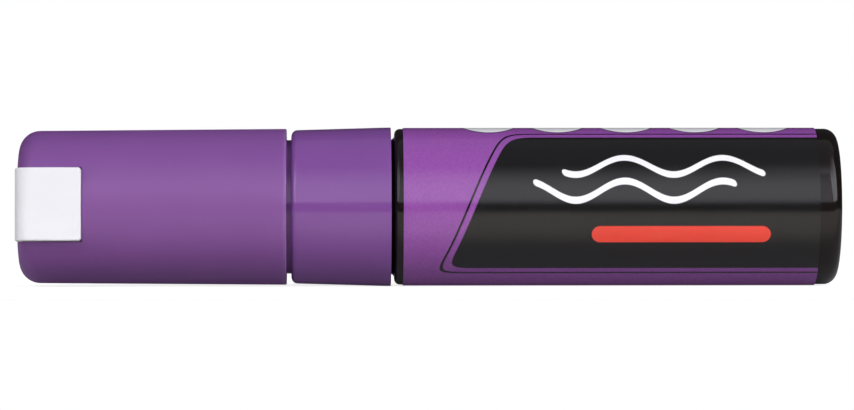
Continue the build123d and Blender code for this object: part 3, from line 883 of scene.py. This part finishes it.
pocket_half_width = TAB_HALF_WIDTH + TAB_GAP
crown_seats = {
    "crown_pocket": block(
        (CAP_END_X - CUT_OVERRUN, -CAP_MOUTH_RADIUS - CUT_OVERRUN, -pocket_half_width),
        (TAB_REAR_X + TAB_GAP, -TAB_SEAT, pocket_half_width),
    ),
    "crown_channel": block(
        (CAP_END_X - CUT_OVERRUN, -TAB_SEAT - CUT_OVERRUN, -pocket_half_width),
        (CHANNEL_FLOOR_X, BAR_REACH + TAB_GAP, pocket_half_width),
    ),
}
for number, offset in enumerate(PEG_OFFSETS, 1):
    crown_seats[f"peg_socket_{number}"] = rod(
        CHANNEL_FLOOR_X - CUT_OVERRUN, PEG_END_X + PRESS_CLEARANCE, PEG_RADIUS + PRESS_CLEARANCE, offset
    )
cap_shell = combined(
    piece("cap_shell_body", turned(cap_profile, cap_rounds)),
    "DIFFERENCE",
    [piece(name, turned_up(seat, CROWN_TURN)) for name, seat in crown_seats.items()],
)

# Purple polypropylene from a blasted mould: the same colour as the collar, with a fine grain that spreads
# every highlight into a soft sheen. The rim at the mouth is rubbed smoother, and it is painted paler there as
# a painted highlight, where its rounded edge catches the side light.
RUB_AND_HIGHLIGHT_START_X = -25.35
RUB_AND_HIGHLIGHT_FULL_X = -25.0
RUBBED_ROUGHNESS = 0.22
# The paler purple of the mouth's rim is a painted highlight.
PAINTED_HIGHLIGHT_PURPLE = "#885a9c"
matt_purple = moulded_plastic(
    "matt_purple_polypropylene",
    dark="#78478c",
    light="#7d4b90",
    ior=1.49,
    specular=0.5,
    roughness=0.43,
    spread=0.03,
    flow_mm=12.0,
    grain_mm=0.28,
    grain_depth_mm=0.004,
)
cap_tree = matt_purple.node_tree
cap_shader = cap_tree.nodes["Principled BSDF"]
cap_place = add_node(
    cap_tree,
    "ShaderNodeSeparateXYZ",
    {"Vector": add_node(cap_tree, "ShaderNodeTexCoord").outputs["Object"]},
)
# Over the mouth's rim this makes the surface smoother and brings in its painted highlight.
rub_and_highlight = add_node(
    cap_tree,
    "ShaderNodeMapRange",
    {"Value": cap_place.outputs["X"], "From Min": RUB_AND_HIGHLIGHT_START_X * MM, "From Max": RUB_AND_HIGHLIGHT_FULL_X * MM},
    interpolation_type="SMOOTHSTEP",
)
# Painted highlight: the base colour turns paler over the rim, standing in for the light its rounded edge
# catches.
painted_highlight_tone = add_node(
    cap_tree,
    "ShaderNodeMix",
    {
        "Factor": rub_and_highlight.outputs["Result"],
        "A": cap_shader.inputs["Base Color"].links[0].from_socket,
        "B": hex_colour(PAINTED_HIGHLIGHT_PURPLE),
    },
    data_type="RGBA",
)
rubbed_gloss = add_node(
    cap_tree,
    "ShaderNodeMix",
    {
        "Factor": rub_and_highlight.outputs["Result"],
        "A": cap_shader.inputs["Roughness"].links[0].from_socket,
        "B": RUBBED_ROUGHNESS,
    },
)
cap_tree.links.new(painted_highlight_tone.outputs["Result"], cap_shader.inputs["Base Color"])
cap_tree.links.new(rubbed_gloss.outputs["Result"], cap_shader.inputs["Roughness"])
cap_shell.data.materials.append(matt_purple)
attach(cap_shell, "cap")
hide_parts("cap_shell")

# Crown
# The white insert at the cap's end, moulded in ABS: a flat tab, cored out from behind, that stands out of the
# cap's side and bends over its end. Two pegs on its back are pressed into the cap.
CROWN_END_X = -71.65
CROWN_BEND_RADIUS = 3.0
TAB_CORNER_RADIUS = 0.6
CROWN_EDGE_ROUND = 0.35
CROWN_FLAT_MARGIN = 0.06
TAB_WALL = 1.0
PEG_ROOT = 0.4
BEND_SEGMENTS = 12
EDGE_SEGMENTS = 6
SHORTEST_SIDE = 0.5
BEND_SIDEWAYS = 0.05
BEND_OUTWARDS = 0.9
crown_mesh = bmesh.new()
crown_outline = [
    (CROWN_END_X, BAR_REACH),
    (CHANNEL_FLOOR_X, BAR_REACH),
    (CHANNEL_FLOOR_X, -TAB_SEAT),
    (TAB_REAR_X, -TAB_SEAT),
    (TAB_REAR_X, -TAB_FACE),
    (CROWN_END_X, -TAB_FACE),
]
outline_corners = [
    crown_mesh.verts.new((x * MM, y * MM, (AXIS_HEIGHT - TAB_HALF_WIDTH) * MM)) for x, y in crown_outline
]
crown_side = crown_mesh.faces.new(outline_corners)
raised = bmesh.ops.extrude_face_region(crown_mesh, geom=[crown_side])["geom"]
bmesh.ops.translate(
    crown_mesh,
    verts=[part for part in raised if isinstance(part, bmesh.types.BMVert)],
    vec=(0.0, 0.0, 2 * TAB_HALF_WIDTH * MM),
)
bmesh.ops.recalc_face_normals(crown_mesh, faces=crown_mesh.faces)


def edges_at(bm, x, y):
    """Edges along Z at x and y, in millimetres."""
    spot = Vector((x * MM, y * MM))
    return [
        edge
        for edge in bm.edges
        if all((Vector((end.co.x, end.co.y)) - spot).length < SAME_PLACE * MM for end in edge.verts)
    ]


def rounded(bm, edges, radius, segments):
    """Rounds edges of a shape."""
    bmesh.ops.bevel(
        bm,
        geom=edges,
        offset=radius * MM,
        offset_type="OFFSET",
        segments=segments,
        profile=0.5,
        affect="EDGES",
        material=-1,
    )


rounded(crown_mesh, edges_at(crown_mesh, CROWN_END_X, -TAB_FACE), CROWN_BEND_RADIUS, BEND_SEGMENTS)
short_edges = [
    edge
    for edge in crown_mesh.edges
    if all(abs(end.co.x - TAB_REAR_X * MM) < SAME_PLACE * MM for end in edge.verts)
    and abs(edge.verts[0].co.y - edge.verts[1].co.y) > SHORTEST_SIDE * MM
    or all(abs(end.co.y - BAR_REACH * MM) < SAME_PLACE * MM for end in edge.verts)
    and abs(edge.verts[0].co.x - edge.verts[1].co.x) > SHORTEST_SIDE * MM
]
rounded(crown_mesh, short_edges, TAB_CORNER_RADIUS, EDGE_SEGMENTS)


def on_outside(face):
    """Whether a face is on the crown's outer side: the tab's face, the bend or the end."""
    middle = face.calc_center_median() / MM
    at_end = abs(middle.x - CROWN_END_X) < SAME_PLACE
    at_face = abs(middle.y + TAB_FACE) < SAME_PLACE
    in_bend = (
        middle.x < CROWN_END_X + CROWN_BEND_RADIUS
        and middle.y < -TAB_FACE + CROWN_BEND_RADIUS
        and abs(face.normal.z) < BEND_SIDEWAYS
        and face.normal.x + face.normal.y < -BEND_OUTWARDS
    )
    return at_end or at_face or in_bend


outer_faces = {face for face in crown_mesh.faces if on_outside(face)}
outer_rim = [edge for edge in crown_mesh.edges if len(outer_faces.intersection(edge.link_faces)) == 1]
rounded(crown_mesh, outer_rim, CROWN_EDGE_ROUND, EDGE_SEGMENTS)
crown_mesh.normal_update()
bmesh.ops.inset_region(
    crown_mesh,
    faces=[face for face in crown_mesh.faces if on_outside(face)],
    thickness=CROWN_FLAT_MARGIN * MM,
    use_even_offset=True,
)
pegs = [
    piece(
        f"crown_peg_{number}",
        turned_up(rod(CHANNEL_FLOOR_X - PEG_ROOT, PEG_END_X, PEG_RADIUS, offset), CROWN_TURN),
    )
    for number, offset in enumerate(PEG_OFFSETS, 1)
]
tab_core = block(
    (CHANNEL_FLOOR_X + TAB_WALL, -TAB_FACE + TAB_WALL, -TAB_HALF_WIDTH + TAB_WALL),
    (TAB_REAR_X - TAB_WALL, -TAB_SEAT + CUT_OVERRUN, TAB_HALF_WIDTH - TAB_WALL),
)
cap_crown = combined(
    combined(piece("cap_crown_body", turned_up(crown_mesh, CROWN_TURN)), "UNION", pegs),
    "DIFFERENCE",
    [piece("crown_core", turned_up(tab_core, CROWN_TURN))],
)

# White ABS from a fine-grained mould: clean and bright, with a satin sheen.
satin_white = moulded_plastic(
    "satin_white_abs",
    dark="#e8e8e9",
    light="#ededee",
    ior=1.53,
    specular=0.5,
    roughness=0.4,
    spread=0.04,
    flow_mm=6.0,
    grain_mm=0.3,
    grain_depth_mm=0.002,
)
cap_crown.data.materials.append(satin_white)
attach(cap_crown, "cap")
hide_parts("cap_crown")

# Inner cap
# The soft cup inside the cap, moulded in natural polyethylene. Its flange is pressed against the cap's step,
# and its lip closes round the nose so that the nib doesn't dry.
INNER_CAP_FLOOR_X = -68.0
INNER_CAP_MOUTH_X = -44.7
INNER_CAP_LIP = 2.0
INNER_CAP_FLANGE = 1.2
INNER_CAP_RADIUS = 9.851
INNER_CAP_BORE_RADIUS = 9.051
INNER_CAP_LIP_RADIUS = 8.801
INNER_CAP_FLANGE_RADIUS = 11.751
inner_cap_profile = [
    (CAP_FLOOR_X, 0.0),
    (CAP_FLOOR_X, INNER_CAP_RADIUS),
    (CAP_STEP_X, INNER_CAP_RADIUS),
    (CAP_STEP_X, INNER_CAP_FLANGE_RADIUS),
    (CAP_STEP_X + INNER_CAP_FLANGE, INNER_CAP_FLANGE_RADIUS),
    (CAP_STEP_X + INNER_CAP_FLANGE, INNER_CAP_RADIUS),
    (INNER_CAP_MOUTH_X, INNER_CAP_RADIUS),
    (INNER_CAP_MOUTH_X, INNER_CAP_LIP_RADIUS),
    (INNER_CAP_MOUTH_X - INNER_CAP_LIP, INNER_CAP_LIP_RADIUS),
    (INNER_CAP_MOUTH_X - INNER_CAP_LIP, INNER_CAP_BORE_RADIUS),
    (INNER_CAP_FLOOR_X, INNER_CAP_BORE_RADIUS),
    (INNER_CAP_FLOOR_X, 0.0),
]
inner_cap = piece("inner_cap_body", turned(inner_cap_profile, {}))

# Natural polyethylene: milky white and waxy, with a soft broad highlight.
natural_polyethylene = moulded_plastic(
    "natural_polyethylene",
    dark="#dcdbd6",
    light="#e8e7e3",
    ior=1.51,
    specular=0.5,
    roughness=0.45,
    spread=0.05,
    flow_mm=8.0,
    grain_mm=0.4,
    grain_depth_mm=0.003,
)
inner_cap.data.materials.append(natural_polyethylene)
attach(inner_cap, "cap")
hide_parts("inner_cap")

# Floor, lights and camera
# The marker lies on a white table in a studio, with a softbox above the camera and one on each side. A panel
# overhead shows only in reflections, and a fill behind only in the shading. A narrow lamp lights the table in
# front, which throws light back from below, and the table glows a little right under the marker.
TABLE_FRONT = 0.1116
TABLE_REAR = 0.6
TABLE_HALF_WIDTH = 0.6
TABLE_FADE = 0.03
TABLE_WHITE = "#b9b8b6"
TABLE_SEEN_LEVEL = 0.78
TABLE_MIRRORED_LEVEL = 0.015
UNDERGLOW_FULL = 0.003
UNDERGLOW_END = 0.008
UNDERGLOW_LEVEL = 0.25
PURE_WHITE = "#ffffff"
table_half_depth = (TABLE_FRONT + TABLE_REAR) / 2
floor_mesh = bmesh.new()
bmesh.ops.create_grid(floor_mesh, x_segments=1, y_segments=1, size=1.0)
bmesh.ops.scale(floor_mesh, verts=floor_mesh.verts, vec=(TABLE_HALF_WIDTH, table_half_depth, 1.0))
bmesh.ops.translate(floor_mesh, verts=floor_mesh.verts, vec=(0.0, (TABLE_REAR - TABLE_FRONT) / 2, 0.0))
floor = piece("floor", floor_mesh)

# Matt white laminate: an even white that takes the marker's soft shadow and has no gloss of its own.
table_white = bpy.data.materials.new("matt_white_laminate")
table_white.use_nodes = True
table_tree = table_white.node_tree
table_tree.nodes.clear()
table_rays = add_node(table_tree, "ShaderNodeLightPath")
table_place = add_node(table_tree, "ShaderNodeTexCoord").outputs["Object"]
table_axes = add_node(table_tree, "ShaderNodeSeparateXYZ", {"Vector": table_place})
table_edge = add_node(
    table_tree,
    "ShaderNodeMapRange",
    {
        "Value": table_axes.outputs["Y"],
        "From Min": -TABLE_FRONT,
        "From Max": TABLE_FADE - TABLE_FRONT,
        "To Min": 1.0,
        "To Max": TABLE_SEEN_LEVEL,
    },
)
table_seen = add_node(
    table_tree,
    "ShaderNodeMath",
    {0: table_rays.outputs["Is Camera Ray"], 1: table_edge.outputs["Result"]},
    operation="MULTIPLY",
)
table_mirrored = add_node(
    table_tree,
    "ShaderNodeMath",
    {0: table_rays.outputs["Is Glossy Ray"], 1: table_rays.outputs["Is Transmission Ray"]},
    operation="MAXIMUM",
)
table_glow = add_node(
    table_tree,
    "ShaderNodeMath",
    {0: table_mirrored.outputs[0], 1: TABLE_MIRRORED_LEVEL, 2: table_seen.outputs[0]},
    operation="MULTIPLY_ADD",
)
table_aside = add_node(table_tree, "ShaderNodeMath", {0: table_axes.outputs["Y"]}, operation="ABSOLUTE")
underglow = add_node(
    table_tree,
    "ShaderNodeMapRange",
    {
        "Value": table_aside.outputs[0],
        "From Min": UNDERGLOW_FULL,
        "From Max": UNDERGLOW_END,
        "To Min": UNDERGLOW_LEVEL,
        "To Max": 0.0,
    },
)
table_strength = add_node(
    table_tree,
    "ShaderNodeMath",
    {0: table_rays.outputs["Is Diffuse Ray"], 1: underglow.outputs["Result"], 2: table_glow.outputs[0]},
    operation="MULTIPLY_ADD",
)
table_diffuse = add_node(table_tree, "ShaderNodeBsdfDiffuse", {"Color": hex_colour(TABLE_WHITE)})
table_light = add_node(
    table_tree, "ShaderNodeEmission", {"Color": hex_colour(PURE_WHITE), "Strength": table_strength.outputs[0]}
)
table_sum = add_node(
    table_tree, "ShaderNodeAddShader", {0: table_diffuse.outputs[0], 1: table_light.outputs[0]}
)
add_node(table_tree, "ShaderNodeOutputMaterial", {"Surface": table_sum.outputs[0]})
floor.data.materials.append(table_white)


def soft_light(name, place, aim, size, level, colour, spread):
    """A rectangular lamp whose face has the given brightness, where 1 is white."""
    lamp = bpy.data.lights.new(name, "AREA")
    lamp.shape = "RECTANGLE"
    lamp.size, lamp.size_y = size
    lamp.energy = level * math.pi * size[0] * size[1]
    lamp.color = hex_colour(colour)[:3]
    lamp.spread = math.radians(spread)
    holder = bpy.data.objects.new(name, lamp)
    holder.location = place
    holder.rotation_euler = (Vector(aim) - Vector(place)).to_track_quat("-Z", "Y").to_euler()
    holder.visible_camera = False
    bpy.context.scene.collection.objects.link(holder)
    return holder


marker_middle = Vector((0.0, 0.0, AXIS_HEIGHT * MM))
SOFTBOX_DISTANCE = 0.9
SOFTBOX_LOW = math.radians(6.2)
SOFTBOX_HIGH = math.radians(65.0)
SOFTBOX_FADE_START = 0.34
SOFTBOX_TOP_LEVEL = 0.06
COOL_WHITE = "#f6f6ff"
OPEN_SPREAD = 180
softbox_rise = (SOFTBOX_LOW + SOFTBOX_HIGH) / 2
softbox_height = 2 * SOFTBOX_DISTANCE * math.tan((SOFTBOX_HIGH - SOFTBOX_LOW) / 2)
for name, turn, width, level in (
    ("front_softbox", 0.0, 1.0, 1.4),
    ("left_softbox", -52.0, 0.7, 2.55),
    ("right_softbox", 52.0, 0.7, 3.8),
):
    turn = math.radians(turn)
    ahead = Vector((math.sin(turn), -math.cos(turn), 0.0)) * math.cos(softbox_rise)
    softbox_place = marker_middle + SOFTBOX_DISTANCE * (ahead + Vector((0.0, 0.0, math.sin(softbox_rise))))
    softbox_size = (width, softbox_height)
    holder = soft_light(name, softbox_place, marker_middle, softbox_size, level, COOL_WHITE, OPEN_SPREAD)
    softbox = holder.data
    softbox.use_nodes = True
    softbox_tree = softbox.node_tree
    softbox_tree.nodes.clear()
    softbox_face = add_node(softbox_tree, "ShaderNodeNewGeometry").outputs["Parametric"]
    softbox_axes = add_node(softbox_tree, "ShaderNodeSeparateXYZ", {"Vector": softbox_face})
    softbox_fade = add_node(
        softbox_tree,
        "ShaderNodeMapRange",
        {
            "Value": softbox_axes.outputs["Y"],
            "From Min": SOFTBOX_FADE_START,
            "From Max": 1.0,
            "To Min": 1.0,
            "To Max": SOFTBOX_TOP_LEVEL,
        },
        interpolation_type="SMOOTHSTEP",
    )
    softbox_glow = add_node(softbox_tree, "ShaderNodeEmission", {"Strength": softbox_fade.outputs["Result"]})
    add_node(softbox_tree, "ShaderNodeOutputLight", {"Surface": softbox_glow.outputs[0]})
OVERHEAD_PLACE = (0.0, 0.008, 0.61)
OVERHEAD_SIZE = (1.1, 0.5725)
OVERHEAD_LEVEL = 0.2
overhead = soft_light(
    "overhead_panel", OVERHEAD_PLACE, marker_middle, OVERHEAD_SIZE, OVERHEAD_LEVEL, COOL_WHITE, OPEN_SPREAD
)
overhead.visible_diffuse = False
REAR_FILL_PLACE = (0.0, 0.85, 0.27)
REAR_FILL_SIZE = (1.2, 0.42)
REAR_FILL_LEVEL = 0.9
rear_fill = soft_light(
    "rear_fill", REAR_FILL_PLACE, marker_middle, REAR_FILL_SIZE, REAR_FILL_LEVEL, PURE_WHITE, OPEN_SPREAD
)
rear_fill.visible_glossy = False
TABLE_LIGHT_PLACE = Vector((0.0, -0.069, 0.5))
TABLE_LIGHT_AIM = Vector((0.0, -0.069, 0.0))
TABLE_LIGHT_SIZE = (0.7, 0.096)
TABLE_LIGHT_LEVEL = 1.05
TABLE_LIGHT_SPREAD = 2
WARM_WHITE = "#fff6e4"
soft_light(
    "table_light",
    TABLE_LIGHT_PLACE,
    TABLE_LIGHT_AIM,
    TABLE_LIGHT_SIZE,
    TABLE_LIGHT_LEVEL,
    WARM_WHITE,
    TABLE_LIGHT_SPREAD,
)

ROOM_LEVEL = 0.03
ROOM_SHADING_LEVEL = 0.12
BACKDROP_EDGE = 0.985
BACKDROP_FULL = 0.999
studio = bpy.data.worlds.new("studio")
bpy.context.scene.world = studio
studio.use_nodes = True
studio_tree = studio.node_tree
studio_tree.nodes.clear()
studio_rays = add_node(studio_tree, "ShaderNodeLightPath")
studio_direction = add_node(studio_tree, "ShaderNodeTexCoord").outputs["Generated"]
studio_axes = add_node(studio_tree, "ShaderNodeSeparateXYZ", {"Vector": studio_direction})
backdrop = add_node(
    studio_tree,
    "ShaderNodeMapRange",
    {"Value": studio_axes.outputs["Y"], "From Min": BACKDROP_EDGE, "From Max": BACKDROP_FULL},
    interpolation_type="SMOOTHSTEP",
)
mirrored = add_node(
    studio_tree,
    "ShaderNodeMath",
    {0: studio_rays.outputs["Is Glossy Ray"], 1: studio_rays.outputs["Is Transmission Ray"]},
    operation="MAXIMUM",
)
mirrored_backdrop = add_node(
    studio_tree,
    "ShaderNodeMath",
    {0: mirrored.outputs[0], 1: backdrop.outputs["Result"]},
    operation="MULTIPLY",
)
white_share = add_node(
    studio_tree,
    "ShaderNodeMath",
    {0: studio_rays.outputs["Is Camera Ray"], 1: mirrored_backdrop.outputs[0]},
    operation="MAXIMUM",
)
room_level = add_node(
    studio_tree,
    "ShaderNodeMath",
    {0: studio_rays.outputs["Is Diffuse Ray"], 1: ROOM_SHADING_LEVEL, 2: ROOM_LEVEL},
    operation="MULTIPLY_ADD",
)
room = add_node(
    studio_tree, "ShaderNodeBackground", {"Color": hex_colour(PURE_WHITE), "Strength": room_level.outputs[0]}
)
backdrop_white = add_node(
    studio_tree, "ShaderNodeBackground", {"Color": hex_colour(PURE_WHITE), "Strength": 1.0}
)
studio_mix = add_node(
    studio_tree,
    "ShaderNodeMixShader",
    {0: white_share.outputs[0], 1: room.outputs[0], 2: backdrop_white.outputs[0]},
)
add_node(studio_tree, "ShaderNodeOutputWorld", {"Surface": studio_mix.outputs[0]})

CAMERA_DISTANCE = 0.895
CAMERA_YAW = -1.12
CAMERA_ROLL = -0.045
CAMERA_RISE = 0.3
CAMERA_SHIFT = -0.13
CAMERA_LENS = 215.2
CAMERA_SENSOR = 36.0
camera_data = bpy.data.cameras.new("camera")
camera_data.sensor_width = CAMERA_SENSOR
camera_data.sensor_fit = "HORIZONTAL"
camera_data.lens = CAMERA_LENS
camera = bpy.data.objects.new("camera", camera_data)
target = Vector((CAMERA_SHIFT * MM, 0.0, (AXIS_HEIGHT + CAMERA_RISE) * MM))
yaw = math.radians(CAMERA_YAW)
camera.location = target + Vector((math.sin(yaw), -math.cos(yaw), 0.0)) * CAMERA_DISTANCE
roll = Quaternion((0.0, 0.0, 1.0), math.radians(CAMERA_ROLL))
camera.rotation_euler = ((target - camera.location).to_track_quat("-Z", "Y") @ roll).to_euler()
bpy.context.scene.collection.objects.link(camera)
bpy.context.scene.camera = camera
bpy.context.scene.view_settings.view_transform = "Standard"
